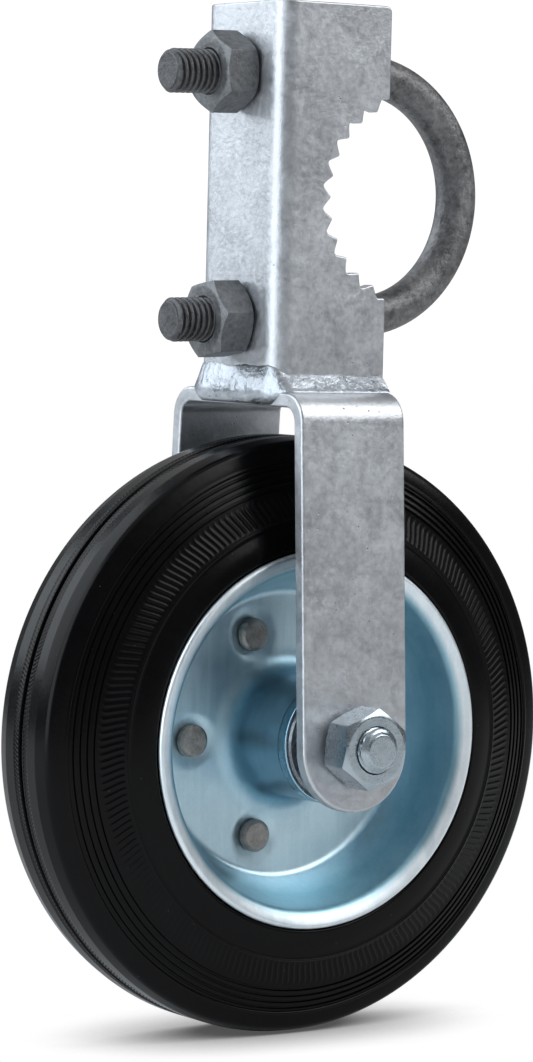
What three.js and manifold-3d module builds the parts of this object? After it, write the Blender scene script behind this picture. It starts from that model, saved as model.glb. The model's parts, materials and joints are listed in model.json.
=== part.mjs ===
// Gate wheel: a rubber-tyred wheel on a roller bearing, in a bent steel fork whose crown carries a
// channel clamp with a U-bolt for a round gate tube.
//
// Units are millimetres. +Z is up, Y runs along the axle and the gate tube, and X is the rolling
// direction, with the clamp nuts on the -X side. The origin is on the axis of the clamped tube, midway
// between the two clamp flanges.
import * as THREE from 'three';
import { mergeVertices } from 'three/addons/utils/BufferGeometryUtils.js';
import Module from 'manifold-3d';

const wasm = await Module();
wasm.setup();

// ---- Driving dimensions -----------------------------------------------------------------------

const GAP = 0.3;                  // clearance left between pieces that touch
const AXLE_X = -26;               // the axle, measured from the gate tube's axis
const AXLE_DROP = 143.5;

const WHEEL_RADIUS = 80;
const TREAD_HALF = 7.5;           // half width of the flat tread, before the shoulders round off
const GROOVE_HALF = 0.9;          // the groove round the middle of the tread
const GROOVE_DEPTH = 1.4;
const RIM_LIP_RADIUS = 50;
const RIM_LIP_HALF = 21.4;        // how far the rim lip stands from the middle plane
const RIM_DISC_RADIUS = 39.4;     // where the flat disc turns into the barrel
const RIM_NECK_HALF = 24.7;       // how far the rim's neck reaches along the hub
const SHEET = 2;                  // rim sheet

const HUB_OUTER = 14;
const HUB_BORE = 12;
const HUB_HALF = 26;
const CAP_RADIUS = 16.3;          // the dust caps run on from the rim's neck
const CAP_HALF = 28.3;
const SLEEVE_RADIUS = 8;
const SLEEVE_HALF = 30.8;
const ROLLER_COUNT = 10;
const ROLLER_RADIUS = 1.85;
const ROLLER_CIRCLE = 10;         // radius of the circle of roller axes
const ROLLER_LENGTH = 34;
const CAGE_HALF = 23;

const RIVET_COUNT = 5;
const RIVET_START = 182;            // degrees from +X to the first rivet
const RIVET_CIRCLE = 28.5;
const RIVET_HEAD_RADIUS = 4.4;
const RIVET_HEAD_HEIGHT = 1.5;
const RIVET_SHANK_RADIUS = 2.7;

const THREAD_RADIUS = 6;          // M12
const HEX_FLATS = 19;
const NUT_HEIGHT = 10;
const BOLT_HEAD_HEIGHT = 7.5;
const BOLT_END = 49.3;            // the bolt's threaded end, from the middle plane

const STRAP_WIDTH = 33;           // the fork's flat bar
const STRAP = 4;
const FORK_OFFSET = 1.2;            // the bar's middle line lies this far from the axle towards +X
const LEG_END_DROP = 1.2;           // the legs' rounded ends are centred this far below the axle
const FORK_HALF = 30.6;           // outer half width of the fork at its crown
const FORK_SPLAY = 0.055;         // how much each leg leans out, per unit of height
const FORK_BEND = 8;              // outer radius of the crown's bends
const CROWN_TOP = -51.3;

const CHANNEL_LENGTH = 102;
const CHANNEL_WIDTH = 38;
const CHANNEL_DEPTH = 35;
const CHANNEL_WALL = 4;
const CHANNEL_BEND = 5.5;         // outer radius of the channel's bends
const WEB_FACE = -42;             // outer face of the channel's web
const SADDLE_TIP = 25.4;          // the toothed half-round seats for the tube
const SADDLE_ROOT = 27.9;
const TOOTH_ANGLE = 12.8;         // degrees from one tooth to the next
const TEETH_EACH_SIDE = 5;        // teeth above and below the middle one
const WELD_LEG = 3.6;
const WELD_HEIGHT = 5;

const ROD_RADIUS = 5.45;          // the U-bolt
const U_BOLT_HALF = 32.55;        // half the distance between the U-bolt's legs
const U_BOLT_BEND = 39;           // centre of the bend, measured from the web's face
const U_BOLT_TILT = 1.6;          // degrees that the U-bolt rises towards its bend, loose in the web's holes
const U_BOLT_THREAD_RADIUS = 5.85;
const U_BOLT_THREAD_LENGTH = 42;
const U_BOLT_END = -22.5;         // its threaded ends, measured from the web's face
const NUT_STAND_OFF = 0.6;        // from the web to the middle of a nut's tilted face

// ---- Materials --------------------------------------------------------------------------------

const steel = (color, roughness) => new THREE.MeshStandardMaterial({ color, roughness, metalness: 0.9 });
const galvanised = () => steel(0xa9b0b8, 0.45);
const darkGalvanised = () => steel(0x777b80, 0.6);
const zincPlated = () => steel(0xbcc6cc, 0.25);
const bluePassivated = () => steel(0x8fb2c4, 0.3);
const bearingSteel = () => steel(0xc9cbce, 0.2);
const rubber = () => new THREE.MeshStandardMaterial({ color: 0x151517, roughness: 0.55, metalness: 0 });
const cagePlastic = () => new THREE.MeshStandardMaterial({ color: 0xd8d2bd, roughness: 0.5, metalness: 0 });

// ---- Outlines ---------------------------------------------------------------------------------

const point = (x, y) => new THREE.Vector2(x, y);

// A line through corners [x, y, radius], with each corner that has a radius rounded by an arc.
function roundedLine(corners, arcSteps = 4) {
  const line = [];
  corners.forEach(([x, y, radius = 0], index) => {
    const corner = point(x, y);
    if (radius === 0) {
      line.push(corner);
      return;
    }
    const back = point(...corners[index - 1]).sub(corner).normalize();
    const ahead = point(...corners[index + 1]).sub(corner).normalize();
    const half = Math.acos(back.dot(ahead)) / 2;
    const bisector = back.clone().add(ahead).normalize();
    const centre = corner.clone().addScaledVector(bisector, radius / Math.sin(half));
    const start = corner.clone().addScaledVector(back, radius / Math.tan(half)).sub(centre);
    const turn = (Math.PI - 2 * half) * Math.sign(back.cross(ahead)) * -1;
    for (let step = 0; step <= arcSteps; step += 1) {
      line.push(start.clone().rotateAround(point(0, 0), turn * step / arcSteps).add(centre));
    }
  });
  return line;
}

// The same line moved sideways: a positive distance moves it to the right of its direction.
function offsetLine(line, distance) {
  return line.map((vertex, index) => {
    const before = line[Math.max(index - 1, 0)];
    const after = line[Math.min(index + 1, line.length - 1)];
    const incoming = (index === 0 ? after.clone().sub(vertex) : vertex.clone().sub(before)).normalize();
    const outgoing = (after === vertex ? incoming.clone() : after.clone().sub(vertex)).normalize();
    const mitre = incoming.clone().add(outgoing).normalize();
    const stretch = distance / mitre.dot(incoming);
    return vertex.clone().add(point(mitre.y, -mitre.x).multiplyScalar(stretch));
  });
}

// The closed outline of a sheet of even thickness whose middle follows the line.
function sheetOutline(line, thickness) {
  return [...offsetLine(line, thickness / 2), ...offsetLine(line, -thickness / 2).reverse()];
}

const mirrored = (line) => line.map(({ x, y }) => point(x, -y)).reverse();

// ---- Solids -----------------------------------------------------------------------------------

function toSolid(geometry) {
  const bare = geometry.clone();
  bare.deleteAttribute('normal');
  bare.deleteAttribute('uv');
  const merged = mergeVertices(bare, 1e-4);
  return new wasm.Manifold(new wasm.Mesh({
    numProp: 3,
    vertProperties: merged.attributes.position.array,
    triVerts: new Uint32Array(merged.index.array),
  }));
}

function toGeometry(solid) {
  const mesh = solid.getMesh();
  const geometry = new THREE.BufferGeometry();
  geometry.setAttribute('position', new THREE.BufferAttribute(mesh.vertProperties, 3));
  geometry.setIndex(new THREE.BufferAttribute(mesh.triVerts, 1));
  geometry.computeVertexNormals();
  return geometry;
}

// A solid of revolution about the Y axis. The outline holds [radius, y] points, anticlockwise.
function turned(outline, segments) {
  return new THREE.LatheGeometry([...outline, outline[0]], segments);
}

function ring(inner, outer, half, segments) {
  return turned([point(inner, -half), point(outer, -half), point(outer, half), point(inner, half)], segments);
}

function prism(outline, depth) {
  return new THREE.ExtrudeGeometry(new THREE.Shape(outline), { depth, bevelEnabled: false });
}

// A cylinder along Y, centred on the origin.
const rod = (radius, length, segments) => new THREE.CylinderGeometry(radius, radius, length, segments);

// A hexagon prism along Y with both ends chamfered, a corner towards +Z and its lower face at y = 0.
function hexagon(height) {
  const corner = HEX_FLATS / Math.sqrt(3);
  const faceRadius = 0.475 * HEX_FLATS;
  const reach = corner + 1;
  const rise = (reach - faceRadius) * Math.tan(Math.PI / 6);
  const envelope = new THREE.LatheGeometry([
    point(0, 0), point(faceRadius, 0), point(reach, rise),
    point(reach, height - rise), point(faceRadius, height), point(0, height),
  ], 36);
  const block = new THREE.CylinderGeometry(corner, corner, height, 6).translate(0, height / 2, 0);
  return toSolid(block).intersect(toSolid(envelope));
}

function nut(boreRadius) {
  const bore = rod(boreRadius, 3 * NUT_HEIGHT, 24);
  return toGeometry(hexagon(NUT_HEIGHT).subtract(toSolid(bore)));
}

// ---- Assembly ---------------------------------------------------------------------------------

const gateWheel = new THREE.Group();
const wheelGroup = new THREE.Group();
wheelGroup.position.set(AXLE_X, 0, -AXLE_DROP);
gateWheel.add(wheelGroup);

function place(group, name, geometry, material) {
  const mesh = new THREE.Mesh(geometry, material);
  mesh.name = name;
  group.add(mesh);
  return mesh;
}

// ---- Wheel: two rim halves riveted back to back, with the tyre between their barrels ----------

const RIM_SEGMENTS = 40;
const TYRE_SEGMENTS = 52;
const ARC_STEPS = 2;                // coarse arcs on the largest pieces

// The middle of the sheet of one rim half, from its neck on the hub out to its lip.
const neckRadius = HUB_OUTER + GAP + SHEET / 2;
const discPlane = GAP / 2 + SHEET / 2;
const rimDisc = [RIM_DISC_RADIUS, discPlane, 3.5];
const rimBarrelEnd = [46.6, 19.2, 2.4];
const rimLip = [RIM_LIP_RADIUS - 0.4, RIM_LIP_HALF - 0.9];
const rimNeck = [[neckRadius, RIM_NECK_HALF], [neckRadius, discPlane, 7]];
const rimLine = roundedLine([...rimNeck, rimDisc, rimBarrelEnd, rimLip], ARC_STEPS);

// The tyre seats on the back of both barrels and under both lips.
const seatCorners = [rimDisc.slice(0, 2), rimBarrelEnd, rimLip];
const seatLine = offsetLine(roundedLine(seatCorners, ARC_STEPS), SHEET / 2 + GAP);
const sidewall = [point(50.9, 20.4), point(54.5, 20.2), point(60, 18.3), point(67, 16), point(74.5, 13)];
const shoulder = [15, 45, 75].map((degrees) => {
  const angle = THREE.MathUtils.degToRad(degrees);
  return point(WHEEL_RADIUS - 6.2 + 6.2 * Math.sin(angle), TREAD_HALF + 6.2 * Math.cos(angle));
});
const tread = [
  point(WHEEL_RADIUS, TREAD_HALF),
  point(WHEEL_RADIUS, GROOVE_HALF),
  point(WHEEL_RADIUS - GROOVE_DEPTH, GROOVE_HALF / 3),
];
const tyreHalf = [...seatLine, ...sidewall, ...shoulder, ...tread];
place(wheelGroup, 'tyre', turned([...tyreHalf, ...mirrored(tyreHalf)].reverse(), TYRE_SEGMENTS), rubber());

const rivetAngles = Array.from({ length: RIVET_COUNT }, (_, index) =>
  THREE.MathUtils.degToRad(RIVET_START) + 2 * Math.PI * index / RIVET_COUNT);
const rivetPlace = (angle) => [RIVET_CIRCLE * Math.cos(angle), 0, RIVET_CIRCLE * Math.sin(angle)];

function rimHalf() {
  let solid = toSolid(turned(sheetOutline(rimLine, SHEET), RIM_SEGMENTS));
  rivetAngles.forEach((angle) => {
    const hole = rod(RIVET_SHANK_RADIUS + GAP, 6 * SHEET, 12).translate(...rivetPlace(angle));
    solid = solid.subtract(toSolid(hole));
  });
  return solid;
}
place(wheelGroup, 'rim_half_far', toGeometry(rimHalf()), bluePassivated());
place(wheelGroup, 'rim_half_near', toGeometry(rimHalf().mirror([0, 1, 0])), bluePassivated());

const headSeat = GAP / 2 + SHEET + GAP;
const headTop = headSeat + RIVET_HEAD_HEIGHT;
const rivetUpper = [
  point(RIVET_SHANK_RADIUS, headSeat),
  point(RIVET_HEAD_RADIUS, headSeat),
  point(RIVET_HEAD_RADIUS, headTop - 0.7),
  point(RIVET_HEAD_RADIUS - 0.7, headTop),
  point(0, headTop),
];
const rivetOutline = [...mirrored(rivetUpper), ...rivetUpper];
rivetAngles.forEach((angle, index) => {
  const rivet = place(wheelGroup, `rivet_${index + 1}`, new THREE.LatheGeometry(rivetOutline, 12), galvanised());
  rivet.position.set(...rivetPlace(angle));
});

place(wheelGroup, 'hub_tube', ring(HUB_BORE, HUB_OUTER, HUB_HALF, 32), bluePassivated());

// A cup pressed over each end of the hub tube, with its rim turned up round a sunk face.
function dustCap() {
  const cup = HUB_OUTER + GAP;
  const face = HUB_HALF + GAP;
  return turned([
    point(SLEEVE_RADIUS + GAP, face), point(cup, face), point(cup, RIM_NECK_HALF + GAP),
    point(CAP_RADIUS, RIM_NECK_HALF + GAP), point(CAP_RADIUS, CAP_HALF), point(CAP_RADIUS - 1.2, CAP_HALF),
    point(13.8, face + 1), point(SLEEVE_RADIUS + GAP, face + 1),
  ], 30);
}
place(wheelGroup, 'dust_cap_far', dustCap(), zincPlated());
place(wheelGroup, 'dust_cap_near', dustCap(), zincPlated()).rotation.x = Math.PI;

// ---- Roller bearing and axle ------------------------------------------------------------------

function rollerCage() {
  let solid = toSolid(ring(ROLLER_CIRCLE - 1.1, ROLLER_CIRCLE + 1.1, CAGE_HALF, 30));
  for (let index = 0; index < ROLLER_COUNT; index += 1) {
    const pocket = new THREE.BoxGeometry(5, ROLLER_LENGTH + 2 * GAP, 2 * (ROLLER_RADIUS + GAP));
    pocket.translate(ROLLER_CIRCLE, 0, 0).rotateY(2 * Math.PI * index / ROLLER_COUNT);
    solid = solid.subtract(toSolid(pocket));
  }
  return toGeometry(solid);
}
place(wheelGroup, 'roller_cage', rollerCage(), cagePlastic());
for (let index = 0; index < ROLLER_COUNT; index += 1) {
  const angle = 2 * Math.PI * index / ROLLER_COUNT;
  const roller = place(wheelGroup, `roller_${index + 1}`, rod(ROLLER_RADIUS, ROLLER_LENGTH, 14), bearingSteel());
  roller.position.set(ROLLER_CIRCLE * Math.cos(angle), 0, -ROLLER_CIRCLE * Math.sin(angle));
}
place(wheelGroup, 'axle_sleeve', ring(THREAD_RADIUS + GAP, SLEEVE_RADIUS, SLEEVE_HALF, 32), bearingSteel());

// The fork's legs lean out, so the nut and the bolt head stand clear of the leg's lean over their width.
const legOuter = FORK_HALF + FORK_SPLAY * (AXLE_DROP + CROWN_TOP);
const fastenerSeat = legOuter + FORK_SPLAY * HEX_FLATS / 2 + GAP;

function axleBolt() {
  const length = BOLT_END + fastenerSeat + 1;
  const shank = rod(THREAD_RADIUS, length, 28).translate(0, length / 2 - BOLT_END, 0);
  const chamfer = new THREE.LatheGeometry([
    point(0, -BOLT_END), point(THREAD_RADIUS - 1.1, -BOLT_END), point(THREAD_RADIUS + 1, 2.1 - BOLT_END),
    point(THREAD_RADIUS + 1, fastenerSeat + 2), point(0, fastenerSeat + 2),
  ], 28);
  const head = hexagon(BOLT_HEAD_HEIGHT).translate([0, fastenerSeat, 0]);
  return toGeometry(toSolid(shank).intersect(toSolid(chamfer)).add(head));
}
place(wheelGroup, 'axle_bolt', axleBolt(), zincPlated());
const axleNut = place(wheelGroup, 'axle_nut', nut(THREAD_RADIUS + GAP), zincPlated());
axleNut.position.y = -fastenerSeat - NUT_HEIGHT;
axleNut.rotation.y = THREE.MathUtils.degToRad(7);

// ---- Fork: one flat bar bent into a fork, its ends rounded about the axle ----------------------

// Turns an outline drawn in [y, z], extruded from 0 to its depth, to run along +X.
const alongX = new THREE.Matrix4().makeBasis(
  new THREE.Vector3(0, 1, 0), new THREE.Vector3(0, 0, 1), new THREE.Vector3(1, 0, 0));

function fork() {
  const crown = CROWN_TOP - STRAP / 2;
  const foot = -AXLE_DROP - STRAP_WIDTH;
  const half = FORK_HALF - STRAP / 2;
  const footHalf = half + FORK_SPLAY * (crown - foot);
  const bend = FORK_BEND - STRAP / 2;
  const barLine = roundedLine([[footHalf, foot], [half, crown, bend], [-half, crown, bend], [-footHalf, foot]]);
  const bar = prism(sheetOutline(barLine, STRAP), STRAP_WIDTH).applyMatrix4(alongX);
  const middle = AXLE_X + FORK_OFFSET;
  bar.translate(middle - STRAP_WIDTH / 2, 0, 0);

  const side = new THREE.Shape();
  const margin = 10;
  side.moveTo(middle + STRAP_WIDTH / 2, CROWN_TOP + margin);
  side.lineTo(middle - STRAP_WIDTH / 2, CROWN_TOP + margin);
  side.absarc(middle, -AXLE_DROP - LEG_END_DROP, STRAP_WIDTH / 2, Math.PI, 2 * Math.PI);
  side.closePath();
  const roundEnds = new THREE.ExtrudeGeometry(side, { depth: 120, bevelEnabled: false, curveSegments: 16 });
  roundEnds.translate(0, 0, -60).rotateX(Math.PI / 2);

  const axleHole = rod(THREAD_RADIUS + GAP, 120, 28).translate(AXLE_X, 0, -AXLE_DROP);
  return toGeometry(toSolid(bar).intersect(toSolid(roundEnds)).subtract(toSolid(axleHole)));
}
place(gateWheel, 'fork', fork(), galvanised());

// ---- Clamp channel: open towards +X, with toothed half-round seats in both flanges -------------

const channelLine = roundedLine([
  [WEB_FACE + CHANNEL_DEPTH, CHANNEL_WIDTH / 2 - CHANNEL_WALL / 2],
  [WEB_FACE + CHANNEL_WALL / 2, CHANNEL_WIDTH / 2 - CHANNEL_WALL / 2, CHANNEL_BEND - CHANNEL_WALL / 2],
  [WEB_FACE + CHANNEL_WALL / 2, CHANNEL_WALL / 2 - CHANNEL_WIDTH / 2, CHANNEL_BEND - CHANNEL_WALL / 2],
  [WEB_FACE + CHANNEL_DEPTH, CHANNEL_WALL / 2 - CHANNEL_WIDTH / 2],
]);

// The cutter for the seats, in [x, z]: teeth point at the tube, with a narrow flat on each tip and root.
// Past the last root it runs straight out through the flange's edge.
function saddleOutline() {
  const steps = [[-0.36, SADDLE_ROOT], [-0.14, SADDLE_TIP], [0.14, SADDLE_TIP], [0.36, SADDLE_ROOT]];
  const outline = [];
  for (let tooth = -TEETH_EACH_SIDE; tooth <= TEETH_EACH_SIDE; tooth += 1) {
    steps.forEach(([share, radius]) => {
      const angle = Math.PI + THREE.MathUtils.degToRad(TOOTH_ANGLE * (tooth + share));
      outline.push(point(radius * Math.cos(angle), radius * Math.sin(angle)));
    });
  }
  return [...outline, point(SADDLE_ROOT, outline.at(-1).y), point(SADDLE_ROOT, outline[0].y)];
}

function clampChannel() {
  const walls = prism(sheetOutline(channelLine, CHANNEL_WALL), CHANNEL_LENGTH).translate(0, 0, -CHANNEL_LENGTH / 2);
  const saddle = prism(saddleOutline(), 60).translate(0, 0, -30).rotateX(Math.PI / 2);
  let solid = toSolid(walls).subtract(toSolid(saddle));
  [U_BOLT_HALF, -U_BOLT_HALF].forEach((height) => {
    const hole = rod(THREAD_RADIUS + 0.5, 20, 24).rotateZ(Math.PI / 2).translate(WEB_FACE, 0, height);
    solid = solid.subtract(toSolid(hole));
  });
  return toGeometry(solid);
}
place(gateWheel, 'clamp_channel', clampChannel(), galvanised());

// The weld bead round the channel's foot: a rounded foot block with the channel's outline cut out.
function channelWeld() {
  const foot = -CHANNEL_LENGTH / 2;
  const outer = offsetLine(channelLine, CHANNEL_WALL / 2 + GAP);
  const bevel = WELD_LEG - GAP;
  const bead = new THREE.ExtrudeGeometry(new THREE.Shape(outer), {
    depth: 1, bevelThickness: WELD_HEIGHT - 1, bevelSize: bevel, bevelSegments: 3, curveSegments: 1,
  });
  bead.translate(0, 0, foot);
  const cutter = prism([...outer, point(20, outer.at(-1).y), point(20, outer[0].y)], 40).translate(0, 0, foot - 20);
  const below = new THREE.BoxGeometry(200, 200, 20).translate(0, 0, foot - 10);
  const mouth = new THREE.BoxGeometry(20, 200, 60).translate(WEB_FACE + CHANNEL_DEPTH + 9, 0, foot);
  const solid = toSolid(bead).subtract(toSolid(cutter)).subtract(toSolid(below)).subtract(toSolid(mouth));
  return toGeometry(solid);
}
place(gateWheel, 'channel_weld', channelWeld(), galvanised());

// ---- U-bolt and its nuts ----------------------------------------------------------------------

// The U-bolt and its nuts are drawn about the middle of the web's face, and tilt about it together.
const tilt = THREE.MathUtils.degToRad(U_BOLT_TILT);
const clampGroup = new THREE.Group();
clampGroup.position.x = WEB_FACE;
clampGroup.rotation.y = -tilt;
gateWheel.add(clampGroup);

function uBolt() {
  const overlap = 0.5;
  const arc = new THREE.CatmullRomCurve3(Array.from({ length: 13 }, (_, index) => {
    const angle = Math.PI / 2 - Math.PI * index / 12;
    return new THREE.Vector3(
      U_BOLT_BEND + U_BOLT_HALF * Math.cos(angle), 0, U_BOLT_HALF * Math.sin(angle));
  }));
  const section = new THREE.Shape().absarc(0, 0, ROD_RADIUS, 0, 2 * Math.PI);
  const bend = new THREE.ExtrudeGeometry(section, { steps: 18, curveSegments: 6, extrudePath: arc });
  let solid = toSolid(bend);
  [U_BOLT_HALF, -U_BOLT_HALF].forEach((height) => {
    const length = U_BOLT_BEND + overlap - U_BOLT_END;
    const leg = rod(ROD_RADIUS, length - 1, 12).translate(0, -(U_BOLT_END + 1 + length / 2 - 0.5), 0);
    const thread = new THREE.LatheGeometry([
      point(0, 0), point(U_BOLT_THREAD_RADIUS - 1, 0), point(U_BOLT_THREAD_RADIUS, 1),
      point(U_BOLT_THREAD_RADIUS, U_BOLT_THREAD_LENGTH), point(0, U_BOLT_THREAD_LENGTH),
    ], 20).translate(0, U_BOLT_END, 0).rotateZ(-Math.PI / 2).translate(0, 0, height);
    solid = solid.add(toSolid(leg.rotateZ(Math.PI / 2).translate(0, 0, height))).add(toSolid(thread));
  });
  return toGeometry(solid);
}
place(clampGroup, 'u_bolt', uBolt(), darkGalvanised());

function clampNut(name, height, degrees) {
  const mesh = place(clampGroup, name, nut(THREAD_RADIUS + 0.2), darkGalvanised());
  const turn = new THREE.Matrix4().makeRotationX(THREE.MathUtils.degToRad(degrees));
  const toX = new THREE.Matrix4().makeRotationZ(-Math.PI / 2);
  mesh.geometry.applyMatrix4(turn.multiply(toX));
  mesh.position.set(height * Math.tan(tilt) - NUT_STAND_OFF - NUT_HEIGHT, 0, height);
}
clampNut('clamp_nut_upper', U_BOLT_HALF, 0);
clampNut('clamp_nut_lower', -U_BOLT_HALF, 20);

export default gateWheel;
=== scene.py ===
"""Gate wheel: the finished look of each piece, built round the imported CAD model.

Lengths in the mesh code are in millimetres in the frame's own axes, and are turned into metres when an object
is made. Lengths in the materials, lights and camera are in metres."""

import json
import math

import bmesh
import bpy
import numpy as np
from mathutils import Matrix, Vector, noise

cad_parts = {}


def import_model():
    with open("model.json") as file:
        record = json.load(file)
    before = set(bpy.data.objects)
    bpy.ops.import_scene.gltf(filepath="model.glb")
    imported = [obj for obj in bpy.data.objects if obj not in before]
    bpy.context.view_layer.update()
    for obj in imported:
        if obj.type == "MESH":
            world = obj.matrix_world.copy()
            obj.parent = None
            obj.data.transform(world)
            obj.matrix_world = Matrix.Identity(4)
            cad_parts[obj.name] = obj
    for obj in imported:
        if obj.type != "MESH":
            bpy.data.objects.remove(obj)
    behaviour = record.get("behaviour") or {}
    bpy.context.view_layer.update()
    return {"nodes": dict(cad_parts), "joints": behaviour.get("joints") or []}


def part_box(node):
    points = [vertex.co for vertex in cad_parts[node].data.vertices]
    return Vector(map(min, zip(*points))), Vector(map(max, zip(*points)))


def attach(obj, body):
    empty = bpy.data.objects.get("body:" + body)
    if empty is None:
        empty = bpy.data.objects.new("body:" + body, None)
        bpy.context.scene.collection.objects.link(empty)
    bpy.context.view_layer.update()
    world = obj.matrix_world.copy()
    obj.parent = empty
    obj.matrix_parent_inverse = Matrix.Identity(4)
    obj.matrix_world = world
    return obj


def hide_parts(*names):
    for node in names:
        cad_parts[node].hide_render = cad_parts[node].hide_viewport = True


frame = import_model()

# ---- Places taken from the frame ----------------------------------------------------------------

PIVOTS = {joint["name"]: [1000 * v for v in joint.get("pos_m", (0, 0, 0))] for joint in frame["joints"]}
AXLE_X, _, AXLE_Z = PIVOTS["wheel_spin"]


def box_mm(node):
    low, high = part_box(node)
    return [1000 * v for v in low], [1000 * v for v in high]


FORK_LOW, FORK_HIGH = box_mm("fork")
CHANNEL_LOW, CHANNEL_HIGH = box_mm("clamp_channel")
NUT_LOW, NUT_HIGH = box_mm("axle_nut")
BOLT_LOW, BOLT_HIGH = box_mm("axle_bolt")
CROWN_TOP = FORK_HIGH[2]
FORK_X = (FORK_LOW[0] + FORK_HIGH[0]) / 2
slide = next(joint["axis"] for joint in frame["joints"] if joint["name"] == "u_bolt_slide")
TILT = math.atan2(slide[2], slide[0])
TO_CLAMP = Matrix.Translation((CHANNEL_LOW[0], 0, 0)) @ Matrix.Rotation(-TILT, 4, "Y")

# ---- Sizes, in millimetres and degrees ----------------------------------------------------------

GAP = 0.3                   # between pieces that fit together
PITCH = 1.75                # of the M12 threads
HEX_FLATS = 19              # across the flats of the nuts and the bolt's head
CLAMP_NUT_HEIGHT = 10
BOLT_RADIUS = 6

STRAP = 4                   # the fork's flat bar
STRAP_WIDTH = FORK_HIGH[0] - FORK_LOW[0]
SPLAY = 0.055               # how far a leg leans out for each millimetre down
FORK_HALF = 30.6            # outer half width at the crown
FORK_BEND = 8               # outer radius of its bends
LEG_END_DROP = 1.2          # from the axle down to the centre of the leg's round end
AXLE_HOLE = 6.4

WALL = 4                    # the channel's sheet
CHANNEL_BEND = 5.5
U_BOLT_HOLE = 6.6
CLAMP_Z = 32.55             # from the clamp's middle to each leg of the U-bolt
TOOTH_TIP, TOOTH_ROOT = 25.4, 27.9
TOOTH_ANGLE = 12.8          # from one tooth to the next
TEETH_EACH_WAY = 5          # from the middle of a seat

WHEEL_RADIUS = 80
RIVET_START, RIVET_CIRCLE, RIVET_COUNT = 182, 28.5, 5
HUB_BORE, HUB_OUTER, HUB_HALF = 12, 14, 26
NECK_RADIUS, NECK_HALF = 15.3, 24.7
CAP_RADIUS, CAP_HALF, CAP_BORE = 16.3, 28.3, 8.3
SHEET = 2                   # rim sheet

# ---- Outlines and meshes ------------------------------------------------------------------------


def rounded(corners, steps=8):
    """A line through corners (x, y, radius), each corner that has a radius turned into an arc."""
    line = []
    for index, (x, y, *rest) in enumerate(corners):
        here = Vector((x, y))
        radius = rest[0] if rest else 0
        if not radius:
            line.append(here)
            continue
        back = (Vector(corners[index - 1][:2]) - here).normalized()
        ahead = (Vector(corners[(index + 1) % len(corners)][:2]) - here).normalized()
        half = math.acos(max(-1, min(1, back.dot(ahead)))) / 2
        centre = here + (back + ahead).normalized() * (radius / math.sin(half))
        start = here + back * (radius / math.tan(half)) - centre
        turn = (math.pi - 2 * half) * (-1 if back.x * ahead.y - back.y * ahead.x > 0 else 1)
        for step in range(steps + 1):
            angle = turn * step / steps
            c, s = math.cos(angle), math.sin(angle)
            line.append(centre + Vector((start.x * c - start.y * s, start.x * s + start.y * c)))
    return line


def offset(line, distance):
    """The same line moved sideways, to the right of its direction for a positive distance."""
    moved = []
    for index, here in enumerate(line):
        before = line[max(index - 1, 0)]
        after = line[min(index + 1, len(line) - 1)]
        incoming = ((here - before) if index else (after - here)).normalized()
        outgoing = ((after - here) if after is not here else (here - before)).normalized()
        mitre = (incoming + outgoing).normalized()
        moved.append(here + Vector((mitre.y, -mitre.x)) * (distance / mitre.dot(incoming)))
    return moved


def smoothstep(low, high, value):
    t = max(0.0, min(1.0, (value - low) / (high - low)))
    return t * t * (3 - 2 * t)


def make(name, verts, faces, material, body, replaced, slot, crease=35, weighted=False):
    mesh = bpy.data.meshes.new(name)
    mesh.from_pydata([(x / 1000, y / 1000, z / 1000) for x, y, z in verts], [], faces)
    mesh.validate()
    mesh.shade_smooth()
    mesh.set_sharp_from_angle(angle=math.radians(crease))
    mesh.materials.append(material)
    piece = bpy.data.objects.new(name, mesh)
    bpy.context.scene.collection.objects.link(piece)
    if weighted:
        modifier = piece.modifiers.new("even_shading", "WEIGHTED_NORMAL")
        modifier.keep_sharp = True
        modifier.weight = 100
    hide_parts(*replaced)
    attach(piece, body)
    return piece


def rings(rows, closed=True):
    """Faces between rings of vertex numbers. A ring may hold four times as many as the next one."""
    faces = []
    pairs = list(zip(rows, rows[1:] + rows[:1])) if closed else list(zip(rows, rows[1:]))
    for a, b in pairs:
        n, m = len(a), len(b)
        if n == m:
            faces += [(a[i], a[(i + 1) % n], b[(i + 1) % n], b[i]) for i in range(n)]
        elif m == 4 * n:
            faces += [
                (a[i], a[(i + 1) % n], *(b[(4 * i + k) % m] for k in (4, 3, 2, 1, 0))) for i in range(n)
            ]
        else:
            faces += [
                (*(a[(4 * i + k) % n] for k in (0, 1, 2, 3, 4)), b[(i + 1) % m], b[i]) for i in range(m)
            ]
    return faces


def lathe(outline, segments, centre=(AXLE_X, 0, AXLE_Z), closed=True):
    """Rings of points about the Y axis for an outline of (radius, y). A radius of 0 makes a pole."""
    verts, rows, faces = [], [], []
    cx, cy, cz = centre
    for radius, y in outline:
        first = len(verts)
        for k in range(segments):
            angle = 2 * math.pi * k / segments
            verts.append((cx + radius * math.cos(angle), cy + y, cz + radius * math.sin(angle)))
        rows.append(list(range(first, first + segments)))
    faces = rings(rows, closed)
    return verts, faces


def outward(verts, faces):
    """The same closed mesh with its faces turned outward and its doubled points joined."""
    mesh = bmesh.new()
    points = [mesh.verts.new(v) for v in verts]
    for face in faces:
        corners = []
        for index in face:
            if points[index] not in corners:
                corners.append(points[index])
        if len(corners) > 2 and not mesh.faces.get(corners):
            mesh.faces.new(corners)
    bmesh.ops.remove_doubles(mesh, verts=mesh.verts, dist=1e-4)
    bmesh.ops.dissolve_degenerate(mesh, edges=mesh.edges, dist=1e-4)
    bmesh.ops.recalc_face_normals(mesh, faces=mesh.faces)
    mesh.verts.index_update()
    out = [tuple(v.co) for v in mesh.verts], [tuple(v.index for v in f.verts) for f in mesh.faces]
    mesh.free()
    return out


# ---- Materials ----------------------------------------------------------------------------------


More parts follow.
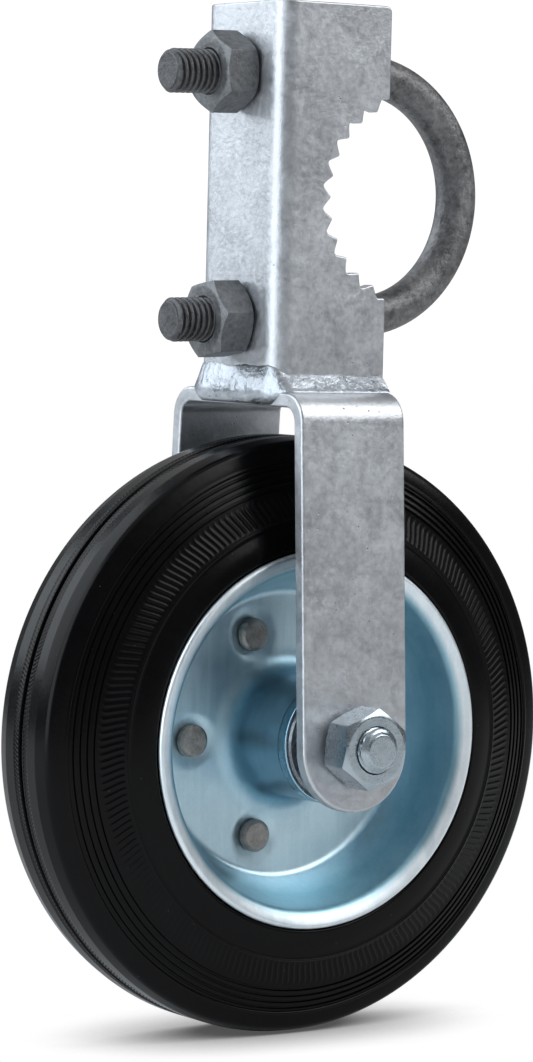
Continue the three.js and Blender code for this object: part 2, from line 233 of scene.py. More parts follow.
class Shader:
    """A short way to write a node tree: each call adds a node and returns its output."""

    def __init__(self, name):
        self.material = bpy.data.materials.new(name)
        self.material.use_nodes = True
        self.tree = self.material.node_tree
        self.nodes, self.links = self.tree.nodes, self.tree.links
        self.surface = self.nodes["Principled BSDF"]
        self.place = self.nodes.new("ShaderNodeTexCoord").outputs["Object"]

    def set(self, node, **values):
        for key, value in values.items():
            socket = node.inputs[key.replace("_", " ")]
            if isinstance(value, bpy.types.NodeSocket):
                self.links.new(value, socket)
            else:
                socket.default_value = value

    def mapped(self, scale):
        node = self.nodes.new("ShaderNodeMapping")
        self.set(node, Vector=self.place, Scale=scale)
        return node.outputs[0]

    def noise(self, scale, detail=4, roughness=0.6, place=None, distortion=0.0):
        node = self.nodes.new("ShaderNodeTexNoise")
        self.set(node, Vector=place or self.place, Scale=scale, Detail=detail, Roughness=roughness,
                 Distortion=distortion)
        return node.outputs[0]

    def cells(self, scale):
        node = self.nodes.new("ShaderNodeTexVoronoi")
        self.set(node, Vector=self.place, Scale=scale)
        return node.outputs[0]

    def ramp(self, value, *stops):
        node = self.nodes.new("ShaderNodeValToRGB")
        self.links.new(value, node.inputs[0])
        while len(node.color_ramp.elements) < len(stops):
            node.color_ramp.elements.new(0.5)
        for element, (position, color) in zip(node.color_ramp.elements, stops):
            element.position = position
            element.color = (*color, 1) if isinstance(color, tuple) else (color, color, color, 1)
        return node.outputs[0]

    def mix(self, factor, a, b, kind="MIX"):
        node = self.nodes.new("ShaderNodeMix")
        node.data_type = "RGBA"
        node.blend_type = kind
        for socket, value in ((node.inputs[0], factor), (node.inputs[6], a), (node.inputs[7], b)):
            if isinstance(value, bpy.types.NodeSocket):
                self.links.new(value, socket)
            else:
                socket.default_value = (*value, 1) if isinstance(value, tuple) else value
        return node.outputs[2]

    def math(self, operation, a, b=0.0):
        node = self.nodes.new("ShaderNodeMath")
        node.operation = operation
        for socket, value in zip(node.inputs, (a, b)):
            if isinstance(value, bpy.types.NodeSocket):
                self.links.new(value, socket)
            else:
                socket.default_value = value
        return node.outputs[0]

    def bump(self, height, distance, strength=1.0, below=None):
        node = self.nodes.new("ShaderNodeBump")
        self.set(node, Height=height, Distance=distance, Strength=strength)
        if below is not None:
            self.links.new(below, node.inputs["Normal"])
        return node.outputs[0]

    def finish(self, **values):
        self.set(self.surface, **values)
        return self.material


def galvanised(name, light, dark, rough=0.42):
    """Hot-dip galvanised plate: cloudy grey with large and small blotches, rough patches and a few pits."""
    s = Shader(name)
    large = s.noise(22, 3, 0.5, distortion=0.6)
    cloud = s.noise(95, 5, 0.68, distortion=0.5)
    fine = s.noise(520, 4, 0.7)
    tone = s.mix(0.5, large, cloud)
    tone = s.mix(0.34, tone, fine)
    color = s.ramp(tone, (0.34, dark), (0.66, light))
    rough_patch = s.ramp(s.noise(48, 3, 0.6), (0.56, 0.0), (0.68, 1.0))
    grit = s.ramp(fine, (0.5, 1.0), (0.6, 0.0))
    worn = s.math("MULTIPLY", s.math("MULTIPLY", rough_patch, grit), 0.3)
    color = s.mix(worn, color, tuple(0.6 * c for c in dark))
    pits = s.ramp(s.cells(420), (0.05, 0.0), (0.14, 1.0))
    rare = s.ramp(s.noise(75, 2, 0.5), (0.56, 1.0), (0.64, 0.0))
    pit = s.math("MAXIMUM", pits, rare)
    color = s.mix(pit, tuple(0.5 * c for c in dark), color)
    roughness = s.ramp(s.mix(0.5, cloud, fine), (0.3, rough - 0.1), (0.72, rough + 0.16))
    normal = s.bump(large, 0.0016, 0.3)
    normal = s.bump(cloud, 0.0005, 0.5, below=normal)
    normal = s.bump(fine, 0.00016, 0.6, below=normal)
    normal = s.bump(pit, 0.0002, 0.5, below=normal)
    return s.finish(Base_Color=color, Metallic=0.82, Roughness=roughness, Normal=normal)


def weld_zinc(name):
    s = Shader(name)
    lumps = s.noise(190, 4, 0.6)
    color = s.ramp(lumps, (0.3, (0.25, 0.275, 0.3)), (0.7, (0.45, 0.48, 0.52)))
    pits = s.ramp(s.cells(420), (0.06, 0.0), (0.2, 1.0))
    rare = s.ramp(s.noise(150, 2, 0.5), (0.5, 1.0), (0.58, 0.0))
    pit = s.math("MAXIMUM", pits, rare)
    color = s.mix(pit, (0.16, 0.17, 0.19), color)
    normal = s.bump(lumps, 0.0012, 0.6)
    normal = s.bump(pit, 0.0004, 0.7, below=normal)
    roughness = s.ramp(lumps, (0.3, 0.24), (0.75, 0.46))
    return s.finish(Base_Color=color, Metallic=0.85, Roughness=roughness, Normal=normal)


def cast_zinc(name, light, dark, rough, blotch=0.5, thread_shade_before=None):
    """The dull, grainy zinc of dipped fasteners, with lighter and darker blotches. Given an X, all that lies
    before it is
    darker: painted shade standing in for the shade deep in the valleys of the threads."""
    s = Shader(name)
    grain = s.noise(620, 4, 0.7)
    cloud = s.noise(150, 4, 0.7, distortion=0.5)
    large = s.noise(45, 3, 0.6)
    tone = s.mix(blotch, s.mix(0.5, cloud, large), grain)
    color = s.ramp(tone, (0.38, dark), (0.62, light))
    if thread_shade_before:
        place = s.nodes.new("ShaderNodeSeparateXYZ")
        s.links.new(s.place, place.inputs[0])
        # painted shade: the threaded end is darkened to stand in for the shade in its thread valleys
        thread = s.math("LESS_THAN", place.outputs[0], thread_shade_before)
        color = s.mix(thread, color, s.ramp(tone, (0.38, (0.05, 0.05, 0.052)), (0.62, (0.12, 0.12, 0.124))))
    roughness = s.ramp(tone, (0.3, rough - 0.1), (0.7, rough + 0.15))
    normal = s.bump(cloud, 0.0007, 0.6)
    normal = s.bump(grain, 0.0003, 0.7, below=normal)
    return s.finish(Base_Color=color, Metallic=0.8, Roughness=roughness, Normal=normal)


def rubber(name):
    s = Shader(name)
    cloud = s.noise(45, 4, 0.6)
    fine = s.noise(900, 3, 0.6)
    color = s.ramp(s.mix(0.3, cloud, fine), (0.3, (0.0006, 0.0006, 0.0008)), (0.75, (0.0022, 0.0022, 0.0026)))
    specks = s.ramp(s.cells(260), (0.02, (0.06, 0.06, 0.06)), (0.04, (0, 0, 0)))
    color = s.mix(1.0, color, specks, "ADD")
    roughness = s.ramp(s.mix(0.4, cloud, fine), (0.3, 0.18), (0.75, 0.3))
    normal = s.bump(cloud, 0.0006, 0.2)
    normal = s.bump(fine, 0.00006, 0.35, below=normal)
    return s.finish(Base_Color=color, Metallic=0, Roughness=roughness, Normal=normal, Specular_IOR_Level=0.12)


def blue_zinc(name, rough, *shade_and_finish_bands):
    """Blue-passivated zinc on pressed sheet. Each band is (distance from the axle in metres, colour). A band
    can be a
    real change of finish, or painted light: darker where the sheet lies in shade, paler for a painted
    highlight.
    """
    s = Shader(name)
    cloud = s.noise(60, 5, 0.62)
    streak = s.noise(1, 4, 0.7, place=s.mapped((420, 420, 34)))
    fine = s.noise(1500, 2, 0.6)
    tone = s.mix(0.14, s.mix(0.4, cloud, streak), fine)
    place = s.nodes.new("ShaderNodeSeparateXYZ")
    s.links.new(s.place, place.inputs[0])
    across = s.math("SUBTRACT", place.outputs[0], AXLE_X / 1000)
    up = s.math("SUBTRACT", place.outputs[2], AXLE_Z / 1000)
    distance = s.math("SQRT", s.math("ADD", s.math("MULTIPLY", across, across), s.math("MULTIPLY", up, up)))
    reach = 0.055
    color = s.ramp(s.math("MULTIPLY", distance, 1 / reach), *[(at / reach, shade) for at, shade in shade_and_finish_bands])
    color = s.mix(1.0, color, s.ramp(tone, (0.34, (0.7, 0.76, 0.8)), (0.62, (1.0, 1.0, 1.0))), "MULTIPLY")
    roughness = s.ramp(tone, (0.3, rough - 0.06), (0.7, rough + 0.12))
    normal = s.bump(streak, 0.00018, 0.3)
    normal = s.bump(cloud, 0.0005, 0.25, below=normal)
    return s.finish(Base_Color=color, Metallic=1.0, Roughness=roughness, Normal=normal)


def bright_zinc(name, light, dark, rough):
    s = Shader(name)
    cloud = s.noise(130, 4, 0.6)
    fine = s.noise(1400, 3, 0.6)
    tone = s.mix(0.35, cloud, fine)
    color = s.ramp(tone, (0.32, dark), (0.68, light))
    roughness = s.ramp(tone, (0.3, rough - 0.05), (0.7, rough + 0.12))
    normal = s.bump(cloud, 0.0004, 0.3)
    normal = s.bump(fine, 0.00005, 0.4, below=normal)
    return s.finish(Base_Color=color, Metallic=1.0, Roughness=roughness, Normal=normal)


def nylon(name):
    s = Shader(name)
    cloud = s.noise(200, 3, 0.5)
    color = s.ramp(cloud, (0.3, (0.56, 0.52, 0.4)), (0.7, (0.68, 0.64, 0.52)))
    roughness = s.ramp(cloud, (0.3, 0.42), (0.7, 0.55))
    normal = s.bump(s.noise(800), 0.0001, 0.4)
    return s.finish(Base_Color=color, Metallic=0, Roughness=roughness, Normal=normal)


PLATE = galvanised("galvanised_plate", (0.6, 0.625, 0.66), (0.35, 0.363, 0.383), 0.38)
WELD = weld_zinc("zinc_coated_weld")
DARK = cast_zinc("dipped_fastener", (0.2, 0.207, 0.215), (0.075, 0.078, 0.082), 0.5)
# the darker colour before X = -43 mm is painted shade on the U-bolt's threaded ends
ROD = cast_zinc("dipped_rod", (0.25, 0.25, 0.255), (0.05, 0.05, 0.052), 0.46, 0.4, thread_shade_before=-0.043)
RUBBER = rubber("black_rubber")
# On the rim the darker teal bands on the neck and the barrel are painted shade and reflection, and the pale
# band at the lip is a painted highlight.
RIM = blue_zinc("blue_zinc_rim", 0.4, (0.017, (0.28, 0.47, 0.58)), (0.024, (0.58, 0.74, 0.81)),
                (0.0385, (0.58, 0.74, 0.81)), (0.0425, (0.28, 0.48, 0.56)), (0.0462, (0.31, 0.5, 0.58)),
                (0.0478, (0.82, 0.87, 0.9)))
HUB = blue_zinc("blue_zinc_hub", 0.32, (0.01, (0.28, 0.45, 0.55)), (0.02, (0.28, 0.45, 0.55)))
CAP = blue_zinc("blue_zinc_cap", 0.22, (0.0156, (0.6, 0.66, 0.7)), (0.0162, (0.28, 0.47, 0.58)))
BRIGHT = bright_zinc("bright_zinc_plate", (0.44, 0.5, 0.54), (0.28, 0.33, 0.36), 0.24)
RIVET = cast_zinc("dull_rivet_steel", (0.4, 0.38, 0.36), (0.2, 0.19, 0.18), 0.42)
BEARING = bright_zinc("ground_bearing_steel", (0.66, 0.66, 0.68), (0.5, 0.5, 0.52), 0.16)
NYLON = nylon("cage_nylon")

# ---- Tyre ---------------------------------------------------------------------------------------

# The middle of the rim's sheet as (radius, half width), and the tyre's seat on the back of it.
DISC_EDGE, DISC_PLANE = 39.4, 1.15
BARREL_AND_LIP = [(46.6, 19.2, 2.4), (49.6, 20.5)]
NECK = [(NECK_RADIUS, NECK_HALF), (NECK_RADIUS, DISC_PLANE, 7)]
RIM_LINE = rounded([*NECK, (DISC_EDGE, DISC_PLANE, 3.5), *BARREL_AND_LIP], 10)
SEAT = offset(rounded([(DISC_EDGE, DISC_PLANE), *BARREL_AND_LIP], 8), SHEET / 2 + GAP)

COARSE, FINE = 440, 1760    # points round a plain ring and round a patterned one
HATCH_STROKES, HATCH_OUTER, HATCH_INNER, HATCH_SLANT = 220, 65.7, 59.6, 1.7
KNURL_STROKES, KNURL_NEAR, KNURL_FAR, KNURL_SLANT = 440, 1.15, 3.35, 1.1

# One side of the tyre from the middle of the tread to the lip, as (radius, half width).
TREAD = [(78.5, 0.01), (78.5, 0.6), (78.75, 0.78), (79.8, 0.9), (79.97, 1.0)]
KNURL = [(79.97, y) for y in np.linspace(KNURL_NEAR, KNURL_FAR, 8)]
CORNER = rounded([(79.97, 3.5), (79.97, 7.3, 1.3), (78.95, 11.9, 2.4), (74.9, 13.35)], 8)
RIDGE = [(74.8, 13.36), (74.5, 13.52), (74.2, 13.72), (73.95, 13.74), (73.8, 13.6), (73.65, 13.42)]
GROOVES = []
for centre in (72.6, 70.9, 69.2, 67.5):
    width = 13 + (74.5 - centre) * 0.4 + 0.22
    GROOVES += [
        (centre + 0.62, width - 0.22), (centre + 0.36, width - 0.2), (centre + 0.22, width - 0.62),
        (centre - 0.22, width - 0.5), (centre - 0.36, width + 0.06), (centre - 0.62, width + 0.12),
    ]
HATCH = [(r, 16.44 + (65.7 - r) * 0.325) for r in np.linspace(HATCH_OUTER, HATCH_INNER, 11)]
WALL_LINE = [
    (59.45, 18.52), (59.3, 18.78), (59.1, 18.84), (58.95, 18.72), (58.8, 18.84), (58.6, 18.86),
    (58.45, 18.78), (57.5, 19.1), (56, 19.6), (54.5, 20.0), (53, 20.25), (51.8, 20.42), (51.1, 20.42),
    (50.95, 20.2), (50.95, 19.4),
]
HALF_TYRE = (
    [(r, y, 0) for r, y in TREAD] + [(r, y, 1) for r, y in KNURL] + [(v[0], v[1], 0) for v in CORNER]
    + [(r, y, 0) for r, y in RIDGE] + [(r, y, 0) for r, y in GROOVES] + [(r, y, 2) for r, y in HATCH]
    + [(r, y, 0) for r, y in WALL_LINE] + [(v.x, v.y, 0) for v in reversed(SEAT[1:])]
)


def ridge_shape(phase, sharp):
    return (0.5 + 0.5 * math.cos(2 * math.pi * phase)) ** sharp


def within(value, low, high, fade):
    """1 between low and high, fading to 0 at both."""
    return smoothstep(low, low + fade, value) * smoothstep(high, high - fade, value)


def tyre():
    outline = [(r, -y, k) for r, y, k in reversed(HALF_TYRE)] + [(r, y, k) for r, y, k in HALF_TYRE[1:]]
    verts, rows = [], []
    total = len(outline)
    for index, (radius, y, kind) in enumerate(outline):
        before, after = outline[index - 1], outline[(index + 1) % total]
        along = Vector((after[0] - before[0], after[1] - before[1])).normalized()
        normal = Vector((along.y, -along.x))
        count = FINE if kind else COARSE
        first = len(verts)
        for k in range(count):
            angle = 2 * math.pi * k / count
            lift = 0.0
            degrees = 360 * k / count
            if kind == 1:
                slant = KNURL_SLANT * (abs(y) - KNURL_NEAR) / (KNURL_FAR - KNURL_NEAR)
                edge = within(abs(y), KNURL_NEAR, KNURL_FAR, 0.3)
                lift = -0.28 * edge * ridge_shape((degrees + slant) * KNURL_STROKES / 360, 1.0)
            elif kind == 2:
                slant = HATCH_SLANT * (HATCH_OUTER - radius) / (HATCH_OUTER - HATCH_INNER)
                edge = within(radius, HATCH_INNER, HATCH_OUTER, 0.7)
                lift = 0.18 * edge * (ridge_shape((degrees + slant) * HATCH_STROKES / 360, 3.0) - 0.3)
            r, w = radius + normal.x * lift, y + normal.y * lift
            verts.append((AXLE_X + r * math.cos(angle), w, AXLE_Z + r * math.sin(angle)))
        rows.append(list(range(first, first + count)))
    make("tyre_rubber", *outward(verts, rings(rows)), RUBBER, "wheel", ["tyre"], "tyre_rubber", crease=60)


tyre()

# ---- Rim halves, rivets, hub tube and dust caps --------------------------------------------------

RIVET_ANGLES = [math.radians(RIVET_START + 360 / RIVET_COUNT * index) for index in range(RIVET_COUNT)]
RIVET_PLACES = [(AXLE_X + RIVET_CIRCLE * math.cos(a), 0, AXLE_Z + RIVET_CIRCLE * math.sin(a))
                for a in RIVET_ANGLES]


def rim_half(name, side):
    outer = offset(RIM_LINE, -SHEET / 2)
    inner = offset(RIM_LINE, SHEET / 2)
    face = []
    for a, b in zip(outer, outer[1:]):
        steps = max(1, int((b - a).length / 1.6))
        face += [a.lerp(b, k / steps) for k in range(steps)]
    end = outer[-1]
    across = inner[-1] - end
    along = (outer[-1] - outer[-2]).normalized()
    lip = [end + across * (0.5 - 0.5 * math.cos(t)) + along * (0.9 * math.sin(t))
           for t in np.linspace(0, math.pi, 9)]
    outline = face + lip + inner[-2::-1]
    verts, faces = lathe([(v[0], side * v[1]) for v in outline], 300)
    shaped = []
    for x, y, z in verts:
        away = min(math.hypot(x - rivet_x, z - rivet_z) for rivet_x, _, rivet_z in RIVET_PLACES)
        if side * y > 2.0 and away < 8.5 and side * y < 4:
            y -= side * 0.75 * (1 - smoothstep(4.8, 7.6, away))
        shaped.append((x, y, z))
    make(f"{name}_sheet", *outward(shaped, faces), RIM, "wheel", [name], "blue_passivated_zinc", crease=50)


rim_half("rim_half_far", 1)
rim_half("rim_half_near", -1)


def rivet(index, centre):
    top, seat, head = 3.95, 1.95, 4.4
    corners = [(2.65, seat), (head, seat), (head, top - 0.75, 0.45), (head - 0.9, top, 0.5), (0.6, top),
               (0, top - 0.06)]
    half = [(v.x, v.y) for v in rounded(corners, 4)]
    outline = [(r, -y) for r, y in reversed(half)] + half
    verts, faces = lathe(outline, 40, centre, closed=False)
    make(f"rivet_{index}_steel", *outward(verts, faces), RIVET, "wheel", [f"rivet_{index}"], "rivet_steel",
         crease=40)


for number, rivet_place in enumerate(RIVET_PLACES, 1):
    rivet(number, rivet_place)


def wheel_ring(name, corners, material, node, slot):
    outline = [(v[0], v[1]) for v in rounded(corners, 5)]
    make(name, *outward(*lathe(outline, 128)), material, "wheel", [node], slot, crease=40)


tube = [(HUB_BORE, -HUB_HALF, 0.4), (HUB_OUTER, -HUB_HALF, 0.6), (HUB_OUTER, HUB_HALF, 0.6),
        (HUB_BORE, HUB_HALF, 0.4)]
wheel_ring("hub_tube_steel", tube, HUB, "hub_tube", "blue_passivated_zinc")
for side, where in ((-1, "near"), (1, "far")):
    seat, face, skirt = HUB_OUTER + GAP, HUB_HALF + GAP, NECK_HALF + GAP
    cup = [(CAP_BORE, face), (seat, face), (seat, skirt), (CAP_RADIUS, skirt), (CAP_RADIUS, CAP_HALF, 0.4),
           (CAP_RADIUS - 1, CAP_HALF, 0.4), (13.8, face + 1, 0.6), (CAP_BORE, face + 1, 0.3)]
    wheel_ring(f"dust_cap_{where}_cup", [(r, side * y, *q) for r, y, *q in cup], CAP, f"dust_cap_{where}",
               "bright_zinc")

# ---- Hexagons and threads -----------------------------------------------------------------------

ROD_SIDES = 56
ROWS_PER_PITCH = 10


def hex_outline():
    """(angle, radius) round a hexagon with slightly rounded corners, a corner at angle 0."""
    corner_radius = 0.7
    apothem = HEX_FLATS / 2
    middle = (apothem - corner_radius) / math.cos(math.pi / 6)
    reach = math.atan2(corner_radius * 0.5, middle + corner_radius * math.cos(math.pi / 6))
    points = []
    for corner in range(6):
        base = math.pi / 3 * corner
        for t in np.linspace(-1, 1, 5):
            delta = reach * t
            radius = middle * math.cos(delta) + math.sqrt(corner_radius**2 - (middle * math.sin(delta)) ** 2)
            points.append((base + delta, radius))
        for t in np.linspace(0, 1, 8)[1:-1]:
            delta = reach + (math.pi / 3 - 2 * reach) * t
            points.append((base + delta, apothem / math.cos(math.pi / 6 - delta)))
    return points


def hexagon(height, bore=None):
    """A chamfered hexagon along local +Z from 0 to height, with a corner towards local +X."""
    shape = hex_outline()
    face = 0.475 * HEX_FLATS
    slope = math.tan(math.radians(30))
    rows, verts = [], []

    def ring(points):
        first = len(verts)
        verts.extend(points)
        rows.append(list(range(first, first + len(points))))

    def circle(radius, z):
        ring([(radius * math.cos(a), radius * math.sin(a), z) for a, _ in shape])

    if bore:
        circle(bore, 0.9)
        circle(bore + 0.8, 0.0)
    else:
        circle(0.001, 0)
    circle(face - 0.5, 0.0)
    circle(face - 0.25, 0.0)
    circle(face, 0.05)
    ring([(r * math.cos(a), r * math.sin(a), max(0.06, (r - face) * slope)) for a, r in shape])
    ring([(r * math.cos(a), r * math.sin(a), height - max(0.06, (r - face) * slope)) for a, r in shape])
    circle(face, height - 0.05)
    circle(face - 0.25, height)
    circle(face - 0.5, height)
    if bore:
        circle(bore + 0.8, height)
        circle(bore, height - 0.9)
    else:
        circle(0.001, height)
    return verts, rings(rows, closed=bool(bore))


def threaded(length, major, plain, chamfer):
    """Rings of a threaded bar along local +Z. Its chamfered end is at 0, and its thread runs out into a plain
    bar. Returns points and rows."""
    depth = 0.61 * PITCH
    rows, verts = [], []
    count = int(length / PITCH * ROWS_PER_PITCH)

    def ring(z, radius_of):
        first = len(verts)
        for j in range(ROD_SIDES):
            angle = 2 * math.pi * j / ROD_SIDES
            radius = radius_of(angle)
            verts.append((radius * math.cos(angle), radius * math.sin(angle), z))
        rows.append(list(range(first, first + ROD_SIDES)))

    ring(0, lambda a: 0.001)
    ring(0, lambda a: major - chamfer - 0.4)
    ring(0, lambda a: major - chamfer - 0.15)
    for i in range(count + 1):
        z = length * i / count + (0.08 if i == 0 else 0)

        def radius_of(angle, z=z):
            phase = (z / PITCH - angle / (2 * math.pi)) % 1.0
            wave = abs(2 * phase - 1)
            crest = min(1.0, max(0.0, (wave - 0.2) / 0.45))
            radius = major - depth * (1 - crest)
            radius = plain + (radius - plain) * (1 - smoothstep(length - PITCH, length, z))
            return min(radius, major - chamfer + z)

        ring(z, radius_of)
    return verts, rows


def join(*parts):
    verts, faces = [], []
    for part_verts, part_faces in parts:
        base = len(verts)
        verts += part_verts
        faces += [tuple(base + i for i in f) for f in part_faces]
    return verts, faces


def placed(verts, matrix):
    return [tuple(matrix @ Vector(v)) for v in verts]


def frame_matrix(origin, z_axis, x_axis):
    z = Vector(z_axis).normalized()
    x = Vector(x_axis)
    x = (x - z * x.dot(z)).normalized()
    y = z.cross(x)
    return Matrix.Translation(origin) @ Matrix((x, y, z)).transposed().to_4x4()


# The axle bolt: head on the far side, thread and nut on the near side.
HEAD_HEIGHT = 7.5
HEAD_SEAT = BOLT_HIGH[1] - HEAD_HEIGHT


def axle_bolt():
    verts, rows = threaded(24, BOLT_RADIUS, BOLT_RADIUS, 1.7)
    first = len(verts)
    length = HEAD_SEAT - BOLT_LOW[1]
    inside_head = length + 0.5
    turns = [2 * math.pi * j / ROD_SIDES for j in range(ROD_SIDES)]
    verts += [(BOLT_RADIUS * math.cos(a), BOLT_RADIUS * math.sin(a), inside_head) for a in turns]
    rows.append(list(range(first, first + ROD_SIDES)))
    verts.append((0, 0, inside_head))
    faces = rings(rows, closed=False)
    faces += [(rows[-1][j], rows[-1][(j + 1) % ROD_SIDES], first + ROD_SIDES) for j in range(ROD_SIDES)]
    bar = outward(verts, faces)
    head_verts, head_faces = outward(*hexagon(HEAD_HEIGHT))
    head = ([(x, y, z + length) for x, y, z in head_verts], head_faces)
    matrix = frame_matrix((AXLE_X, BOLT_LOW[1], AXLE_Z), (0, 1, 0), (0.2, 0, 1))
    verts, faces = join(bar, head)
    make("axle_bolt_zinc", placed(verts, matrix), faces, BRIGHT, "root", ["axle_bolt"], "bright_zinc",
         crease=28)


def nut(name, node, origin, z_axis, x_axis, height, material, body, slot, bore):
    verts, faces = outward(*hexagon(height, bore))
    matrix = frame_matrix(origin, z_axis, x_axis)
    make(name, placed(verts, matrix), faces, material, body, [node], slot, crease=28)


axle_bolt()
turn = math.radians(7)
nut("axle_nut_zinc", "axle_nut", (AXLE_X, NUT_LOW[1], AXLE_Z), (0, 1, 0), (math.sin(turn), 0, math.cos(turn)),
    NUT_HIGH[1] - NUT_LOW[1], BRIGHT, "root", "bright_zinc", bore=5.6)
for name, lean, height in (("upper", 0, CLAMP_Z), ("lower", 20, -CLAMP_Z)):
    node = f"clamp_nut_{name}"
    turn = math.radians(lean)
    face = TO_CLAMP @ Vector((height * math.tan(TILT) - CLAMP_NUT_HEIGHT - 2 * GAP, 0, height))
    axis = TO_CLAMP.to_3x3() @ Vector((1, 0, 0))
    corner = TO_CLAMP.to_3x3() @ Vector((0, -math.sin(turn), math.cos(turn)))
    nut(f"{node}_steel", node, face, axis, corner, CLAMP_NUT_HEIGHT, DARK, node, "dark_galvanised_steel",
        bore=5.5)

# ---- Bent plates: the fork and the channel -------------------------------------------------------


def plate(cells, thickness, bend, edge=0.6, segments=3):
    """A plate drawn flat as cells of (u, v) corners, given its thickness and round edges, then bent by
    bend(u, v, t)."""
    numbers, flat, faces = {}, [], []
    for cell in cells:
        face = []
        for u, v in cell:
            key = (round(u, 4), round(v, 4))
            if key not in numbers:
                numbers[key] = len(flat)
                flat.append((u, v))
            face.append(numbers[key])
        faces.append(face)
    count = len(flat)
    used = {}
    for face in faces:
        for a, b in zip(face, face[1:] + face[:1]):
            used.setdefault(frozenset((a, b)), []).append((a, b))
    rim = [pairs[0] for pairs in used.values() if len(pairs) == 1]
    mesh = bmesh.new()
    points = [mesh.verts.new((u, v, -thickness / 2)) for u, v in flat]
    points += [mesh.verts.new((u, v, thickness / 2)) for u, v in flat]
    for face in faces:
        mesh.faces.new([points[i + count] for i in face])
        mesh.faces.new([points[i] for i in reversed(face)])
    for a, b in rim:
        mesh.faces.new([points[a], points[b], points[b + count], points[a + count]])
    bmesh.ops.recalc_face_normals(mesh, faces=mesh.faces)
    edges = []
    for a, b in rim:
        for base in (0, count):
            edges.append(mesh.edges.get((points[a + base], points[b + base])))
    bmesh.ops.bevel(mesh, geom=edges, offset=edge, segments=segments, profile=0.5, affect="EDGES",
                    clamp_overlap=True)
    mesh.verts.index_update()
    verts = [bend(*v.co) for v in mesh.verts]
    out = verts, [tuple(v.index for v in f.verts) for f in mesh.faces]
    mesh.free()
    return out


def arc_points(centre, radius, start, end, steps):
    return [
        (centre[0] + radius * math.cos(math.radians(start + (end - start) * k / steps)),
         centre[1] + radius * math.sin(math.radians(start + (end - start) * k / steps)))
        for k in range(steps + 1)
    ]


class Bar:
    """The middle line of a bar bent in a plane, measured along it from its middle: straight, bend,
    straight."""

    def __init__(self, half_straight, radius, turn):
        self.half, self.radius, self.turn = half_straight, radius, turn
        self.bend_length = radius * turn

    def at(self, s):
        """(distance out, distance down, direction angle) at length s from the middle, for s >= 0."""
        if s <= self.half:
            return s, 0.0, 0.0
        over = s - self.half
        if over <= self.bend_length:
            angle = over / self.radius
            return self.half + self.radius * math.sin(angle), self.radius * (1 - math.cos(angle)), angle
        rest = over - self.bend_length
        out = self.half + self.radius * math.sin(self.turn) + rest * math.cos(self.turn)
        down = self.radius * (1 - math.cos(self.turn)) + rest * math.sin(self.turn)
        return out, down, self.turn


def fork():
    lean = math.atan(SPLAY)
    turn = math.pi / 2 - lean
    radius = FORK_BEND - STRAP / 2
    half = FORK_HALF - STRAP / 2
    bar = Bar(half - radius * math.tan(turn / 2), radius, turn)
    crown = CROWN_TOP - STRAP / 2
    straight = bar.half + bar.bend_length
    _, down0, _ = bar.at(straight)
    axle_s = straight + (crown - down0 - AXLE_Z) / math.cos(lean)
    w = STRAP_WIDTH / 2
    split = AXLE_X - FORK_X
    half_turn = {across: math.degrees(math.acos(across * split / w)) for across in (-1, 1)}
    cells = []
    stations = [bar.half * k / 4 for k in range(5)]
    stations += [bar.half + bar.bend_length * k / 12 for k in range(1, 13)]
    lengths = sorted({round(s, 5) for s in stations} | {round(-s, 5) for s in stations})
    for a, b in zip(lengths, lengths[1:]):
        for u0, u1 in ((-w, split), (split, w)):
            cells.append([(u0, a), (u1, a), (u1, b), (u0, b)])
    for side in (-1, 1):
        s0 = round(side * straight, 5)
        hole = side * axle_s
        end = side * (axle_s + LEG_END_DROP)
        for across in (-1, 1):
            outline = [(split, s0), (across * w, s0)]
            outline += [(across * w * math.cos(math.radians(t)), end + side * w * math.sin(math.radians(t)))
                        for t in np.linspace(0, half_turn[across], 25)]
            outline += [(split + across * AXLE_HOLE * math.sin(math.radians(t)),
                         hole + side * AXLE_HOLE * math.cos(math.radians(t)))
                        for t in np.linspace(0, 180, 19)]
            outline = [(split if abs(u - split) < 1e-6 else u, v) for u, v in outline]
            cells.append(outline if side * across > 0 else outline[::-1])

    def bend(u, s, t):
        out, down, angle = bar.at(abs(s))
        side = 1 if s >= 0 else -1
        y = side * (out + t * math.sin(angle))
        z = crown - down + t * math.cos(angle)
        return FORK_X + u, y, z

    verts, faces = plate(cells, STRAP, bend, edge=0.8, segments=4)
    make("fork_bar", verts, faces, PLATE, "root", ["fork"], "galvanised_steel", crease=60, weighted=True)


fork()


def saddle_line():
    """The toothed edge of one seat from its lower end to its upper end, as (x, z)."""
    line = []
    steps = 16
    sharpness = 0.91
    half = (2 * TEETH_EACH_WAY + 1) * steps // 2
    for k in range(-half, half + 1):
        share = k / steps
        wave = math.asin(sharpness * math.cos(2 * math.pi * share)) / math.asin(sharpness)
        radius = (TOOTH_TIP + TOOTH_ROOT) / 2 - (TOOTH_ROOT - TOOTH_TIP) / 2 * wave
        angle = math.pi - math.radians(TOOTH_ANGLE * share)
        line.append((radius * math.cos(angle), radius * math.sin(angle)))
    return line


